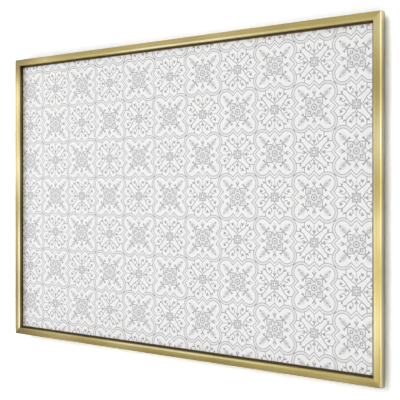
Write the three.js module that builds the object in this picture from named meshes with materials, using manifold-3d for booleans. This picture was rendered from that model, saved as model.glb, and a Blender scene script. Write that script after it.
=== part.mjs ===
// Framed magnetic board: a printed steel panel that floats in a mitred, gold-coloured metal frame.
// Millimetres. +X is to the right seen from the front, +Z is up and +Y points at the wall.
// The origin is the centre of the wall plane behind the board.
import * as THREE from "three";
import { mergeVertices } from "three/addons/utils/BufferGeometryUtils.js";
import Module from "manifold-3d";

const wasm = await Module();
wasm.setup();

// Driving sizes of the board
const boardWidth = 705;
const boardHeight = 500;
const wallGap = 5;

// Frame section: a hollow bar with a panel flange along its back
const railFace = 12;
const railDepth = 12.5;
const railWall = 1.4;
const outerArris = 2;
const innerArris = 1.8;
const flangeReach = 14;
const flangeThickness = 1.5;
const flangeEdgeRound = 0.6;
const chamberRound = 0.8;
const mitreGap = 0.1;

// Panel: printed film on a steel sheet on a hardboard backing
const shadowGap = 3;
const filmThickness = 0.15;
const filmBond = 0.05;
const sheetThickness = 0.8;
const sheetBond = 0.1;
const backingThickness = 3.2;
const backingInset = 1;

// Clearances
const seatGap = 0.1;
const flangeSeatGap = 0.2;
const keyClearance = 0.3;
const holeClearance = 0.3;
const cutOverrun = 1;

// Corner keys, pushed into the hollow of the rails
const keyArm = 34;
const keyBarbPitch = 3.4;
const keyBarbDepth = 0.7;
const keyBarbLand = 4;
const keyScrewDepth = 6;
const cornerScrewInset = 24;

// Cross-head screws
const screwHeadRadius = 2.7;
const screwHeadHeight = 1.5;
const screwHeadBrim = 0.5;
const screwShankRadius = 1.3;
const screwPoint = 0.7;
const screwCrossWidth = 0.7;
const screwCrossLength = 3;
const screwCrossDepth = 0.8;

// Screws that hold the panel to the flange, along the middle of each rail
const panelScrewEdge = 5.5;
const panelScrewBite = 2.6;
const longRailScrewShares = [-0.36, 0, 0.36];
const shortRailScrewShares = [-0.22, 0.22];

// Swinging hangers: a strap folded round the straight side of a wire ring
const hangerDrop = 88;
const hangerAcross = 9;
const ringWire = 2;
const ringHalfWidth = 7;
const ringBend = 2.2;
const ringLeg = 3;
const ringButt = 0.4;
const ringRestGap = 0.3;
const eyeClearance = 0.3;
const strapThickness = 0.8;
const strapSlit = 0.3;
const strapWidth = 9;
const strapLength = 27;
const strapEndRound = 3;
const strapScrewDrop = 6.6;
const strapScrewPitch = 14;
const strapScrewBite = 3.5;

// Wall bumpers
const bumperRadius = 6;
const bumperTaper = 0.5;
const bumperRound = 0.9;
const bumperInset = 46;
const bumperAcross = 13;

// Facets
const arcSteps = 3;
const wireSides = 10;
const wireSteps = 46;
const holeSides = 14;
const screwSides = 12;
const domeSteps = 3;
const bumperSides = 24;

// Worked-out sizes
const frameBack = -wallGap;
const panelWidth = boardWidth - 2 * (railFace + shadowGap);
const panelHeight = boardHeight - 2 * (railFace + shadowGap);
const backingBack = frameBack - flangeThickness - flangeSeatGap;
const sheetBack = backingBack - backingThickness - sheetBond;
const filmBack = sheetBack - sheetThickness - filmBond;
const chamberFace = railFace - 2 * railWall;
const chamberDepth = railDepth - 2 * railWall;
const keyFace = chamberFace - 2 * keyClearance;
const keyDepth = chamberDepth - 2 * keyClearance;
const panelScrewAcross = railFace + shadowGap + backingInset + panelScrewEdge;
const holeRadius = screwShankRadius + holeClearance;
const eyeInner = ringWire / 2 + eyeClearance;
const eyeOuter = eyeInner + strapThickness;
const strapStack = 2 * strapThickness + strapSlit;
const hangerX = boardWidth / 2 - hangerAcross;
const hangerY = frameBack + seatGap + eyeOuter;
const hangerZ = boardHeight / 2 - hangerDrop;
const ringReach = ringBend + ringLeg + ringHalfWidth;
const ringLean = Math.asin((seatGap + eyeOuter - ringWire / 2 - ringRestGap) / ringReach);

// The four rails, each with its outer edge on its own local z = 0 and its inside towards -z
const sides = [
  { name: "top", length: boardWidth, turn: 0, x: 0, z: boardHeight / 2 },
  { name: "right", length: boardHeight, turn: Math.PI / 2, x: boardWidth / 2, z: 0 },
  { name: "bottom", length: boardWidth, turn: Math.PI, x: 0, z: -boardHeight / 2 },
  { name: "left", length: boardHeight, turn: -Math.PI / 2, x: -boardWidth / 2, z: 0 },
];

// Materials
function finish(color, roughness, metalness) {
  return () => new THREE.MeshStandardMaterial({ color, roughness, metalness });
}
const goldAnodised = finish(0xc8b678, 0.32, 1);
const castAlloy = finish(0x9a9a98, 0.55, 1);
const zincPlate = finish(0xb9bcc0, 0.35, 1);
const printedFilm = finish(0xececec, 0.5, 0);
const coatedSheet = finish(0xa9acae, 0.45, 1);
const hardboard = finish(0x7d5a3c, 0.85, 0);
const darkRubber = finish(0x2a2a2c, 0.8, 0);

// Solids
function toSolid(geometry) {
  const bare = geometry.clone();
  bare.deleteAttribute("normal");
  bare.deleteAttribute("uv");
  const merged = mergeVertices(bare);
  const vertProperties = new Float32Array(merged.attributes.position.array);
  const triVerts = new Uint32Array(merged.index.array);
  return new wasm.Manifold(new wasm.Mesh({ numProp: 3, vertProperties, triVerts }));
}

function toGeometry(solid) {
  const { vertProperties, triVerts } = solid.getMesh();
  const geometry = new THREE.BufferGeometry();
  geometry.setAttribute("position", new THREE.BufferAttribute(vertProperties, 3));
  geometry.setIndex(new THREE.BufferAttribute(triVerts, 1));
  geometry.computeVertexNormals();
  return geometry;
}

function cutAway(geometry, cutters) {
  const cut = (solid, cutter) => solid.subtract(toSolid(cutter));
  return toGeometry(cutters.reduce(cut, toSolid(geometry)));
}

function moveVertices(geometry, place) {
  const position = geometry.attributes.position;
  for (let i = 0; i < position.count; i += 1) {
    position.setXYZ(i, ...place(position.getX(i), position.getY(i), position.getZ(i)));
  }
  return geometry;
}

// A straight drill along y, from one depth to another
function drill(x, z, radius, fromY, toY) {
  const bit = new THREE.CylinderGeometry(radius, radius, toY - fromY, holeSides);
  return bit.translate(x, (fromY + toY) / 2, z);
}

const group = new THREE.Group();

function place(name, geometry, material, x, y, z, turn = 0, parent = group) {
  const mesh = new THREE.Mesh(geometry, material());
  mesh.name = name;
  mesh.position.set(x, y, z);
  mesh.rotation.y = turn;
  parent.add(mesh);
  return mesh;
}

// Rail section, drawn with x inwards from the outer edge and y forwards from the back
function railSection() {
  const section = new THREE.Shape();
  const flangeEnd = railFace + flangeReach;
  section.moveTo(0, 0);
  section.lineTo(flangeEnd, 0);
  section.lineTo(flangeEnd, flangeThickness - flangeEdgeRound);
  section.absarc(
    flangeEnd - flangeEdgeRound, flangeThickness - flangeEdgeRound, flangeEdgeRound, 0, Math.PI / 2,
  );
  section.lineTo(railFace, flangeThickness);
  section.lineTo(railFace, railDepth - innerArris);
  section.absarc(railFace - innerArris, railDepth - innerArris, innerArris, 0, Math.PI / 2);
  section.lineTo(outerArris, railDepth);
  section.absarc(outerArris, railDepth - outerArris, outerArris, Math.PI / 2, Math.PI);
  section.closePath();
  section.holes.push(chamberOutline());
  return section;
}

// Hollow of the rail, with filleted corners
function chamberOutline() {
  const near = railWall + chamberRound;
  const farX = railFace - near;
  const farY = railDepth - near;
  const hollow = new THREE.Path();
  hollow.absarc(near, near, chamberRound, -Math.PI / 2, -Math.PI, true);
  hollow.absarc(near, farY, chamberRound, Math.PI, Math.PI / 2, true);
  hollow.absarc(farX, farY, chamberRound, Math.PI / 2, 0, true);
  hollow.absarc(farX, near, chamberRound, 0, -Math.PI / 2, true);
  hollow.closePath();
  return hollow;
}

// A rail mitred at 45 degrees at both ends: a point is shorter by as much as it lies inwards
function mitredBar(length) {
  const unit = new THREE.ExtrudeGeometry(railSection(), {
    depth: 1, steps: 1, bevelEnabled: false, curveSegments: arcSteps,
  });
  const half = length / 2 - mitreGap / Math.SQRT2;
  return moveVertices(unit, (inwards, forwards, end) => [
    (end > 0 ? -1 : 1) * (half - inwards),
    frameBack - forwards,
    -inwards,
  ]);
}

function railScrewPlaces(side) {
  const shares = side.length === boardWidth ? longRailScrewShares : shortRailScrewShares;
  return shares.map((share) => share * side.length);
}

function cornerScrewPlaces(side) {
  return [-1, 1].map((end) => end * (side.length / 2 - cornerScrewInset));
}

// Holes for the hanger's screws, in the side rails only
function strapScrewPlaces(side) {
  if (side.x === 0) {
    return [];
  }
  const upwards = -Math.sign(side.turn);
  return strapScrewHeights().map((height) => upwards * height);
}

function strapScrewHeights() {
  return [0, 1].map((row) => hangerZ - strapScrewDrop - row * strapScrewPitch);
}

function drilledRail(side) {
  const throughWall = [frameBack - railWall - cutOverrun, frameBack + cutOverrun];
  const throughFlange = [frameBack - flangeThickness - cutOverrun, frameBack + cutOverrun];
  return cutAway(mitredBar(side.length), [
    ...railScrewPlaces(side).map((x) => drill(x, -panelScrewAcross, holeRadius, ...throughFlange)),
    ...cornerScrewPlaces(side).map((x) => drill(x, -railFace / 2, holeRadius, ...throughWall)),
    ...strapScrewPlaces(side).map((x) => drill(x, -hangerAcross, holeRadius, ...throughWall)),
  ]);
}

// Cross-head screw along y, with the underside of its head on y = 0 and its shank towards -y
function screwGeometry(shankLength) {
  const outline = [
    [0, -shankLength],
    [screwShankRadius - screwPoint, -shankLength],
    [screwShankRadius, screwPoint - shankLength],
    [screwShankRadius, 0],
    [screwHeadRadius, 0],
    [screwHeadRadius, screwHeadBrim],
  ];
  for (let i = 1; i <= domeSteps; i += 1) {
    const angle = (Math.PI / 2) * (i / domeSteps);
    const radius = i === domeSteps ? 0 : screwHeadRadius * Math.cos(angle);
    outline.push([radius, screwHeadBrim + (screwHeadHeight - screwHeadBrim) * Math.sin(angle)]);
  }
  const body = new THREE.LatheGeometry(outline.map(([x, y]) => new THREE.Vector2(x, y)), screwSides);
  const crossHeight = screwCrossDepth + cutOverrun;
  const crossY = screwHeadHeight - screwCrossDepth + crossHeight / 2;
  const bars = [0, Math.PI / 2].map((turn) =>
    new THREE.BoxGeometry(screwCrossLength, crossHeight, screwCrossWidth)
      .rotateY(turn)
      .translate(0, crossY, 0));
  return cutAway(body, bars);
}

// Barbed L-shaped key, with the frame's outer corner at its own origin and arms towards -x and -z
function cornerKeyGeometry() {
  const near = railWall + keyClearance;
  const far = near + keyFace;
  const end = near + keyArm;
  const barbs = Math.floor((end - far - keyBarbLand) / keyBarbPitch);
  const outline = new THREE.Shape();
  outline.moveTo(near, near);
  outline.lineTo(end, near);
  outline.lineTo(end, far - keyBarbDepth);
  for (let i = 0; i < barbs; i += 1) {
    const x = end - i * keyBarbPitch;
    outline.lineTo(x - keyBarbPitch, far);
    outline.lineTo(x - keyBarbPitch, far - keyBarbDepth);
  }
  outline.lineTo(far, far - keyBarbDepth);
  outline.lineTo(far - keyBarbDepth, far);
  for (let i = barbs - 1; i >= 0; i -= 1) {
    const y = end - i * keyBarbPitch;
    outline.lineTo(far - keyBarbDepth, y - keyBarbPitch);
    outline.lineTo(far, y - keyBarbPitch);
  }
  outline.lineTo(far - keyBarbDepth, end);
  outline.lineTo(near, end);
  outline.closePath();
  const slab = new THREE.ExtrudeGeometry(outline, { depth: keyDepth, steps: 1, bevelEnabled: false });
  const back = frameBack - railWall - keyClearance;
  const key = moveVertices(slab, (x, y, forwards) => [-x, back - forwards, -y]);
  const holeEnds = [back - keyScrewDepth - screwPoint, back + cutOverrun];
  const middle = railFace / 2;
  return cutAway(key, [
    drill(-cornerScrewInset, -middle, holeRadius, ...holeEnds),
    drill(-middle, -cornerScrewInset, holeRadius, ...holeEnds),
  ]);
}

// Folded strap, with the ring's pivot at its own origin, the wall towards +y and the strap towards -z
function strapGeometry() {
  const inner = -eyeOuter;
  const slitBack = inner + strapThickness;
  const slitFront = slitBack + strapSlit;
  const outer = inner + strapStack;
  const onEye = (y) => -Math.sqrt(eyeOuter ** 2 - y ** 2);
  const section = new THREE.Shape();
  section.moveTo(inner, -strapLength);
  section.lineTo(slitBack, -strapLength);
  section.lineTo(slitBack, onEye(slitBack));
  section.lineTo(slitFront, onEye(slitFront));
  section.lineTo(slitFront, -strapLength);
  section.lineTo(outer, -strapLength);
  section.absarc(0, 0, eyeOuter, Math.atan2(onEye(outer), outer), Math.PI);
  section.closePath();
  const eye = new THREE.Path();
  eye.absarc(0, 0, eyeInner, 0, 2 * Math.PI, true);
  section.holes.push(eye);
  const strip = new THREE.ExtrudeGeometry(section, {
    depth: strapWidth, steps: 1, bevelEnabled: false, curveSegments: 2 * arcSteps,
  });
  const folded = moveVertices(strip, (y, z, x) => [x - strapWidth / 2, y, z]);
  const holeEnds = [inner - cutOverrun, outer + cutOverrun];
  const holes = strapScrewHeights().map((z) => drill(0, z - hangerZ, holeRadius, ...holeEnds));
  return cutAway(toGeometry(toSolid(folded).intersect(toSolid(strapOutline()))), holes);
}

// Plan of the strap, with its free end rounded, as deep as the eye
function strapOutline() {
  const half = strapWidth / 2 + cutOverrun;
  const inside = strapWidth / 2 - strapEndRound;
  const plan = new THREE.Shape();
  plan.moveTo(half, eyeOuter + cutOverrun);
  plan.lineTo(-half, eyeOuter + cutOverrun);
  plan.lineTo(-half, strapEndRound - strapLength);
  plan.lineTo(-strapWidth / 2, strapEndRound - strapLength);
  plan.absarc(-inside, strapEndRound - strapLength, strapEndRound, Math.PI, 1.5 * Math.PI);
  plan.absarc(inside, strapEndRound - strapLength, strapEndRound, 1.5 * Math.PI, 2 * Math.PI);
  plan.lineTo(half, strapEndRound - strapLength);
  plan.closePath();
  const depth = 2 * (eyeOuter + cutOverrun);
  const block = new THREE.ExtrudeGeometry(plan, {
    depth, steps: 1, bevelEnabled: false, curveSegments: arcSteps,
  });
  return block.rotateX(Math.PI / 2).translate(0, depth / 2, 0);
}

// The bent wire of a ring, from one butt end of its straight side round to the other
class RingLine extends THREE.Curve {
  constructor() {
    super();
    const legTop = ringBend + ringLeg;
    const barEnd = ringHalfWidth - ringBend;
    this.line = new THREE.Path();
    this.line.moveTo(ringButt / 2, 0);
    this.line.lineTo(barEnd, 0);
    this.line.absarc(barEnd, ringBend, ringBend, -Math.PI / 2, 0);
    this.line.lineTo(ringHalfWidth, legTop);
    this.line.absarc(0, legTop, ringHalfWidth, 0, Math.PI);
    this.line.lineTo(-ringHalfWidth, ringBend);
    this.line.absarc(-barEnd, ringBend, ringBend, Math.PI, 1.5 * Math.PI);
    this.line.lineTo(-ringButt / 2, 0);
  }

  getPoint(t, target = new THREE.Vector3()) {
    const { x, y } = this.line.getPoint(t);
    return target.set(x, 0, y);
  }
}

function ringGeometry() {
  const wire = new THREE.Shape();
  wire.absarc(0, 0, ringWire / 2, 0, 2 * Math.PI);
  const ring = new THREE.ExtrudeGeometry(wire, {
    extrudePath: new RingLine(), steps: wireSteps, curveSegments: wireSides / 2,
  });
  return ring.rotateX(ringLean);
}

// Rubber bumper along y, glued by its wide end and with its flat end on the wall plane
function bumperGeometry() {
  const height = wallGap - seatGap;
  const narrow = bumperRadius - bumperTaper;
  const outline = [[0, 0], [bumperRadius, 0], [narrow, height - bumperRound]];
  const roundSteps = 3;
  for (let i = 1; i <= roundSteps; i += 1) {
    const angle = (Math.PI / 2) * (i / roundSteps);
    outline.push([
      narrow - bumperRound * (1 - Math.cos(angle)),
      height - bumperRound * (1 - Math.sin(angle)),
    ]);
  }
  outline.push([0, height]);
  return new THREE.LatheGeometry(outline.map(([x, y]) => new THREE.Vector2(x, y)), bumperSides);
}

function addScrews(side, rail, kind, places, across, shankLength) {
  places.forEach((x, i) => {
    const geometry = screwGeometry(shankLength);
    const name = `${kind}_screw_${side.name}_${i + 1}`;
    place(name, geometry, zincPlate, x, frameBack + seatGap, -across, 0, rail);
  });
}

function addRail(side) {
  const rail = new THREE.Group();
  rail.position.set(side.x, 0, side.z);
  rail.rotation.y = side.turn;
  group.add(rail);
  place(`rail_${side.name}`, drilledRail(side), goldAnodised, 0, 0, 0, 0, rail);
  const cornerShank = seatGap + railWall + keyClearance + keyScrewDepth;
  addScrews(side, rail, "corner", cornerScrewPlaces(side), railFace / 2, cornerShank);
  const panelShank = seatGap + flangeThickness + flangeSeatGap + panelScrewBite;
  addScrews(side, rail, "panel", railScrewPlaces(side), panelScrewAcross, panelShank);
}

function addCornerKeys() {
  const corners = [["top_right", 1, 1, 0], ["bottom_right", 1, -1, 1]];
  corners.push(["bottom_left", -1, -1, 2], ["top_left", -1, 1, 3]);
  for (const [name, acrossSign, upSign, quarters] of corners) {
    const x = (acrossSign * boardWidth) / 2;
    const z = (upSign * boardHeight) / 2;
    const turn = (quarters * Math.PI) / 2;
    place(`corner_key_${name}`, cornerKeyGeometry(), castAlloy, x, 0, z, turn);
  }
}

// A flat layer of the panel, with its back on a given y
function addLayer(name, material, inset, thickness, back) {
  const layer = new THREE.BoxGeometry(panelWidth - 2 * inset, thickness, panelHeight - 2 * inset);
  place(name, layer, material, 0, back - thickness / 2, 0);
}

function backingGeometry() {
  const width = panelWidth - 2 * backingInset;
  const height = panelHeight - 2 * backingInset;
  const board = new THREE.BoxGeometry(width, backingThickness, height);
  board.translate(0, backingBack - backingThickness / 2, 0);
  const holeEnds = [backingBack - panelScrewBite - holeClearance, backingBack + cutOverrun];
  const holes = sides.flatMap((side) => railScrewPlaces(side).map((along) => {
    const spot = new THREE.Vector3(along, 0, -panelScrewAcross);
    spot.applyAxisAngle(new THREE.Vector3(0, 1, 0), side.turn);
    return drill(side.x + spot.x, side.z + spot.z, holeRadius, ...holeEnds);
  }));
  return cutAway(board, holes);
}

function addHanger(name, sign) {
  const x = sign * hangerX;
  place(`hanger_strap_${name}`, strapGeometry(), zincPlate, x, hangerY, hangerZ);
  place(`hanger_ring_${name}`, ringGeometry(), zincPlate, x, hangerY, hangerZ);
  const headSeat = hangerY - eyeOuter + strapStack + seatGap;
  const shank = headSeat - frameBack + strapScrewBite;
  strapScrewHeights().forEach((z, i) => {
    place(`hanger_screw_${name}_${i + 1}`, screwGeometry(shank), zincPlate, x, headSeat, z);
  });
}

function addBumpers() {
  for (const [row, upSign] of [["top", 1], ["bottom", -1]]) {
    for (const [column, sign] of [["left", -1], ["right", 1]]) {
      const x = sign * (boardWidth / 2 - bumperInset);
      const z = upSign * (boardHeight / 2 - bumperAcross);
      const name = `wall_bumper_${row}_${column}`;
      place(name, bumperGeometry(), darkRubber, x, frameBack + seatGap, z);
    }
  }
}

sides.forEach(addRail);
addCornerKeys();
addLayer("print_film", printedFilm, 0, filmThickness, filmBack);
addLayer("steel_sheet", coatedSheet, 0, sheetThickness, sheetBack);
place("backing_board", backingGeometry(), hardboard, 0, 0, 0);
addHanger("left", -1);
addHanger("right", 1);
addBumpers();

export default group;
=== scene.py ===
import math
import random

import bpy
from mathutils import Matrix, Vector
from mathutils.geometry import delaunay_2d_cdt, tessellate_polygon


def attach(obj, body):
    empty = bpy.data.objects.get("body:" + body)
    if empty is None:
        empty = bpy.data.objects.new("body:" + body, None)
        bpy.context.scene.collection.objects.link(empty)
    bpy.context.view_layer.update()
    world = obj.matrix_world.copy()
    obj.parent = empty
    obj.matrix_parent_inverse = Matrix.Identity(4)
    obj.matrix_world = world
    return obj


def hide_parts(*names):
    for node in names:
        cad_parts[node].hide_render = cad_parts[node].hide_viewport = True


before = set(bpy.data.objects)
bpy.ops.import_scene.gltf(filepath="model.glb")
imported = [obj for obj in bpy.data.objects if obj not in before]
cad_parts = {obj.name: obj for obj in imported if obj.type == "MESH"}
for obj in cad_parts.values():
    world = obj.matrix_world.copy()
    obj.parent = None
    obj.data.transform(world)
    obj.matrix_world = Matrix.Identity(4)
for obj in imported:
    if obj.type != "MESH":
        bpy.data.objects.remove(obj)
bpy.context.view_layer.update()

MM = 0.001

# Sizes of the board, in millimetres
BOARD_WIDTH, BOARD_HEIGHT = 705, 500
WALL_GAP = 5
RAIL_FACE, RAIL_DEPTH, RAIL_WALL = 12, 12.5, 1.4
OUTER_ARRIS, INNER_ARRIS = 2, 1.8
FLANGE_REACH, FLANGE_THICKNESS, FLANGE_EDGE_ROUND = 14, 1.5, 0.6
CHAMBER_ROUND = 0.8
MITRE_GAP = 0.1
SHADOW_GAP = 3
BACKING_INSET = 1
SEAT_GAP = 0.1
HOLE_RADIUS = 1.6
CORNER_SCREW_INSET = 24
PANEL_SCREW_EDGE = 5.5
LONG_SHARES, SHORT_SHARES = (-0.36, 0, 0.36), (-0.22, 0.22)
HANGER_DROP, HANGER_ACROSS = 88, 9
RING_WIRE, RING_HALF_WIDTH, RING_BEND, RING_LEG, RING_BUTT = 2, 7, 2.2, 3, 0.4
RING_REST_GAP = 0.3
EYE_CLEARANCE = 0.3
STRAP_THICKNESS, STRAP_SLIT = 0.8, 0.3
STRAP_SCREW_DROP, STRAP_SCREW_PITCH = 6.6, 14
BUMPER_RADIUS, BUMPER_TAPER, BUMPER_ROUND, BUMPER_EDGE = 6, 0.5, 0.9, 0.15
BUMPER_INSET, BUMPER_ACROSS = 46, 13
FILM_FRONT = -11.0
INK_BACK, INK_FRONT = FILM_FRONT - 0.002, FILM_FRONT - 0.06

# Sizes of the screws, in millimetres
CORNER_SHANK, PANEL_SHANK, STRAP_SCREW_BITE = 7.8, 4.4, 3.5
SHANK_RADIUS, POINT_RADIUS, POINT_LENGTH = 1.3, 0.6, 0.7
HEAD_RADIUS, HEAD_SEAT_RADIUS, HEAD_EDGE, HEAD_RIM = 2.7, 2.55, 0.12, 0.42
DOME_RADIUS, DOME_START, DOME_HEIGHT = 2.62, 0.55, 0.95

# Height, half length and half width of a screw's recess at its bottom and above the head
RECESS_LEVELS = ((0.45, 0.9, 0.22), (2.0, 1.75, 0.42))

FRAME_BACK = -WALL_GAP
PANEL_WIDTH = BOARD_WIDTH - 2 * (RAIL_FACE + SHADOW_GAP)
PANEL_HEIGHT = BOARD_HEIGHT - 2 * (RAIL_FACE + SHADOW_GAP)
PANEL_SCREW_ACROSS = RAIL_FACE + SHADOW_GAP + BACKING_INSET + PANEL_SCREW_EDGE
EYE_OUTER = RING_WIRE / 2 + EYE_CLEARANCE + STRAP_THICKNESS
HANGER_X = BOARD_WIDTH / 2 - HANGER_ACROSS
HANGER_Y = FRAME_BACK + SEAT_GAP + EYE_OUTER
HANGER_Z = BOARD_HEIGHT / 2 - HANGER_DROP
RING_REACH = RING_BEND + RING_LEG + RING_HALF_WIDTH
RING_LEAN = math.asin((SEAT_GAP + EYE_OUTER - RING_WIRE / 2 - RING_REST_GAP) / RING_REACH)

# The printed tiles: their pitch, and the centre of the first column and row
TILE = 63.285
FIRST_COLUMN, FIRST_ROW = -318.31, 191.83
COLUMNS, ROWS = range(0, 11), range(-1, 8)
TILE_SEAM = 0.005

# The lobes of a tile's outlines, the width of their lines, and the least cosine at a mitred corner
LOBE = (20, 20)
LOBE_OUTER, LOBE_INNER = 15.6, 11.85
OUTLINE_WIDTH = 0.95
SHARPEST_MITRE = 0.45

# Sides and steps of round shapes
HOLE_SIDES, SCREW_SIDES, WIRE_SIDES, BUMPER_SIDES = 24, 28, 18, 48
EDGE_STEPS, ARRIS_STEPS, DOME_STEPS, BUMPER_STEPS = 6, 12, 8, 8
BEND_STEPS, RING_STEPS = 8, 16

ON_AXIS = 1e-6
SAME_POINT = 1e-4
FILLED_TRIANGLES = 1


# Meshes

def add_object(name, data):
    """A new object in the scene with this mesh, lamp or camera."""
    obj = bpy.data.objects.new(name, data)
    bpy.context.scene.collection.objects.link(obj)
    return obj


def new_mesh(name, points, faces):
    """A mesh from points in millimetres."""
    mesh = bpy.data.meshes.new(name)
    mesh.from_pydata([tuple(value * MM for value in point) for point in points], [], faces)
    return mesh


def new_piece(name, points, faces, body="board"):
    """A piece of the object from points in millimetres, riding on a body."""
    mesh = new_mesh(name, points, faces)
    mesh.validate()
    mesh.update()
    obj = add_object(name, mesh)
    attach(obj, body)
    return obj


def smooth(obj, degrees):
    """Smooth shading, but for edges sharper than this."""
    mesh = obj.data
    mesh.polygons.foreach_set("use_smooth", [True] * len(mesh.polygons))
    mesh.set_sharp_from_angle(angle=math.radians(degrees))


def cut(obj, points, faces):
    """Takes a closed shape away from an object."""
    mesh = new_mesh("cutter", points, faces)
    cutter = add_object("cutter", mesh)
    modifier = obj.modifiers.new("cut", "BOOLEAN")
    modifier.operation = "DIFFERENCE"
    modifier.solver = "EXACT"
    modifier.object = cutter
    evaluated = obj.evaluated_get(bpy.context.evaluated_depsgraph_get())
    result = bpy.data.meshes.new_from_object(evaluated)
    obj.modifiers.clear()
    obj.data = result
    bpy.data.objects.remove(cutter)
    bpy.data.meshes.remove(mesh)


def moved(place, points):
    """Points turned and shifted by a matrix."""
    return [tuple(place @ Vector(point)) for point in points]


def arc(cx, cy, radius, start, end, steps):
    """Points of an arc, with its angles in degrees."""
    angles = [math.radians(start + (end - start) * i / steps) for i in range(steps + 1)]
    return [(cx + radius * math.cos(angle), cy + radius * math.sin(angle)) for angle in angles]


def drill(centre, from_y, to_y):
    """Points and faces of the cylinder along y that a screw hole takes away."""
    cx, cz = centre
    circle, faces = [], []
    for i in range(HOLE_SIDES):
        angle = 2 * math.pi * i / HOLE_SIDES
        circle.append((cx + HOLE_RADIUS * math.cos(angle), cz + HOLE_RADIUS * math.sin(angle)))
        j = (i + 1) % HOLE_SIDES
        faces.append((i, HOLE_SIDES + i, HOLE_SIDES + j, j))
    points = [(x, y, z) for y in (from_y, to_y) for x, z in circle]
    faces.append(tuple(range(HOLE_SIDES)))
    faces.append(tuple(reversed(range(HOLE_SIDES, 2 * HOLE_SIDES))))
    return points, faces


def join_shapes(shapes):
    """One list of points and one of faces from several."""
    points, faces = [], []
    for more_points, more_faces in shapes:
        start = len(points)
        points += more_points
        faces += [tuple(start + i for i in face) for face in more_faces]
    return points, faces


def lathe(profile, sides):
    """A turned shape about y from (radius, y) points that start and end on the axis."""
    points, rings = [], []
    for radius, y in profile:
        if radius == 0:
            rings.append([len(points)] * sides)
            points.append((0, y, 0))
            continue
        rings.append(list(range(len(points), len(points) + sides)))
        for i in range(sides):
            angle = 2 * math.pi * i / sides
            points.append((radius * math.cos(angle), y, radius * math.sin(angle)))
    faces = []
    for low, high in zip(rings, rings[1:]):
        for i in range(sides):
            j = (i + 1) % sides
            corners = [low[i], high[i], high[j], low[j]]
            faces.append(tuple(dict.fromkeys(corners)))
    return points, faces


# Materials

class Num:
    """A number that varies over a surface, worked out by Math nodes."""

    def __init__(self, tree, socket):
        self.tree, self.socket = tree, socket

    def math(self, operation, *others):
        node = self.tree.nodes.new("ShaderNodeMath")
        node.operation = operation
        for slot, value in zip(node.inputs, (self, *others)):
            if isinstance(value, Num):
                self.tree.links.new(value.socket, slot)
            else:
                slot.default_value = value
        return Num(self.tree, node.outputs[0])

    def __add__(self, other):
        return self.math("ADD", other)

    def __sub__(self, other):
        return self.math("SUBTRACT", other)

    def __mul__(self, other):
        return self.math("MULTIPLY", other)

    def __truediv__(self, other):
        return self.math("DIVIDE", other)

    def abs(self):
        return self.math("ABSOLUTE")

    def least(self, other):
        return self.math("MINIMUM", other)

    def most(self, other):
        return self.math("MAXIMUM", other)

    def rise(self, low, high, from_level=0.0, to_level=1.0):
        """Goes smoothly from one level to the other as the number goes from low to high."""
        node = self.tree.nodes.new("ShaderNodeMapRange")
        node.interpolation_type = "SMOOTHSTEP"
        self.tree.links.new(self.socket, node.inputs["Value"])
        limits = {"From Min": low, "From Max": high, "To Min": from_level, "To Max": to_level}
        for key, value in limits.items():
            node.inputs[key].default_value = value
        return Num(self.tree, node.outputs["Result"])

    def fall(self, low, high):
        """1 below low and 0 above high."""
        return self.rise(low, high, 1.0, 0.0)

    def hill(self, low, high, soft):
        """1 between low and high and 0 outside, with soft edges."""
        return self.rise(low - soft, low + soft) * self.fall(high - soft, high + soft)

    def rest(self):
        """What is missing from 1."""
        return self * -1.0 + 1.0


class Finish:
    """A material with one Principled shader, and what its nodes are made with."""

    def __init__(self, name, **sockets):
        self.material = bpy.data.materials.new(name)
        self.material.use_nodes = True
        self.tree = self.material.node_tree
        self.link = self.tree.links.new
        self.shader = self.tree.nodes["Principled BSDF"]
        for key, value in sockets.items():
            self.shader.inputs[key.replace("_", " ")].default_value = value
        self.coordinates = self.node("TexCoord").outputs["Object"]

    def node(self, kind, **values):
        """A new node of a kind, with values for its inputs."""
        node = self.tree.nodes.new("ShaderNode" + kind)
        for key, value in values.items():
            node.inputs[key].default_value = value
        return node

    def split(self):
        """The place on the object along x, y and z, in metres."""
        node = self.node("SeparateXYZ")
        self.link(self.coordinates, node.inputs[0])
        return [Num(self.tree, socket) for socket in node.outputs]

    def noise(self, scale, detail=3.0, roughness=0.55, distortion=0.0):
        """Noise in 0 to 1. Its scale is one number, or one for each axis, in cycles a metre."""
        mapping = self.node("Mapping", Scale=scale if isinstance(scale, tuple) else (scale,) * 3)
        self.link(self.coordinates, mapping.inputs["Vector"])
        look = {"Detail": detail, "Roughness": roughness, "Distortion": distortion}
        node = self.node("TexNoise", Scale=1.0, **look)
        self.link(mapping.outputs[0], node.inputs["Vector"])
        return Num(self.tree, node.outputs[0])

    def cells(self, scale):
        """The distance from the middle of the nearest of scattered cells."""
        node = self.node("TexVoronoi", Scale=scale)
        self.link(self.coordinates, node.inputs["Vector"])
        return Num(self.tree, node.outputs["Distance"])

    def color(self, value, stops):
        """Colours the surface by a number, from (place, colour) stops."""
        node = self.node("ValToRGB")
        elements = node.color_ramp.elements
        while len(elements) < len(stops):
            elements.new(0.5)
        for element, (place, color) in zip(elements, stops):
            element.position = place
            element.color = (*srgb(color), 1.0)
        self.link(value.socket, node.inputs[0])
        self.link(node.outputs[0], self.shader.inputs["Base Color"])

    def rough(self, value):
        self.link(value.socket, self.shader.inputs["Roughness"])

    def bump(self, height, distance, strength):
        node = self.node("Bump", Distance=distance, Strength=strength)
        self.link(height.socket, node.inputs["Height"])
        self.link(node.outputs[0], self.shader.inputs["Normal"])


def srgb(color):
    """Linear values of an sRGB colour given in 0 to 255."""
    shares = [value / 255 for value in color]
    return [share / 12.92 if share <= 0.04045 else ((share + 0.055) / 1.055) ** 2.4 for share in shares]


def along(axis, lengthwise, across):
    """A texture scale with one value along an axis and another across it."""
    return tuple(lengthwise if i == axis else across for i in range(3))


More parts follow.
